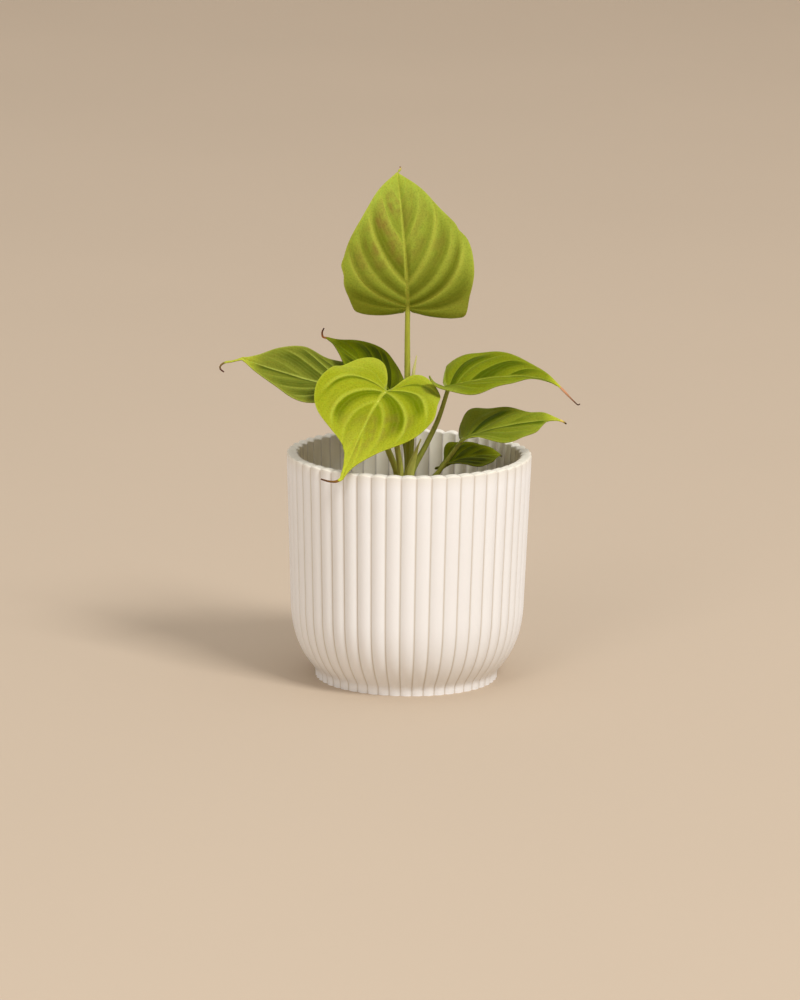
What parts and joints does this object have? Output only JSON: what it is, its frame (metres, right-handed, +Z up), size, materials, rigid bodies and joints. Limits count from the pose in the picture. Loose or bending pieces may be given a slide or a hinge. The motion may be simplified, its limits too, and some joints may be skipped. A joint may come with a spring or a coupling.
{
  "type": "potted philodendron verrucosum",
  "caption": "Young velvet-leaved climbing aroid with heart-shaped, waved leaves on thin stalks, in a matt white fluted cover pot filled with soil.",
  "frame": {"origin": "centre of the pot's flat base, on the surface it stands on", "axes": "+Z up from the base, -Y towards the viewer of the picture, +X to the right in the picture; the front leaf leans to -Y"},
  "size_m": [0.2066, 0.1403, 0.2946],
  "materials": {
    "pot_ceramic": "matte",
    "potting_soil": "matte",
    "stem_green": "matte",
    "stalk_green": "satin",
    "leaf_light": "satin",
    "leaf_mid": "satin",
    "leaf_dark": "satin",
    "spear_pale": "satin",
    "sheath_green": "matte"
  },
  "bodies": {
    "root": {"pot": "pot_ceramic", "soil": "potting_soil", "stem": "stem_green", "new_leaf_spear": "spear_pale", "blade_top": "leaf_light", "petiole_top": "stalk_green", "blade_front": "leaf_light", "petiole_front": "stalk_green", "blade_right_upper": "leaf_mid", "petiole_right_upper": "stalk_green", "blade_left": "leaf_mid", "petiole_left": "stalk_green", "blade_back": "leaf_dark", "petiole_back": "stalk_green", "blade_right_lower": "leaf_mid", "petiole_right_lower": "stalk_green", "blade_small": "leaf_dark", "petiole_small": "stalk_green", "cataphyll": "sheath_green"}
  },
  "joints": []
}
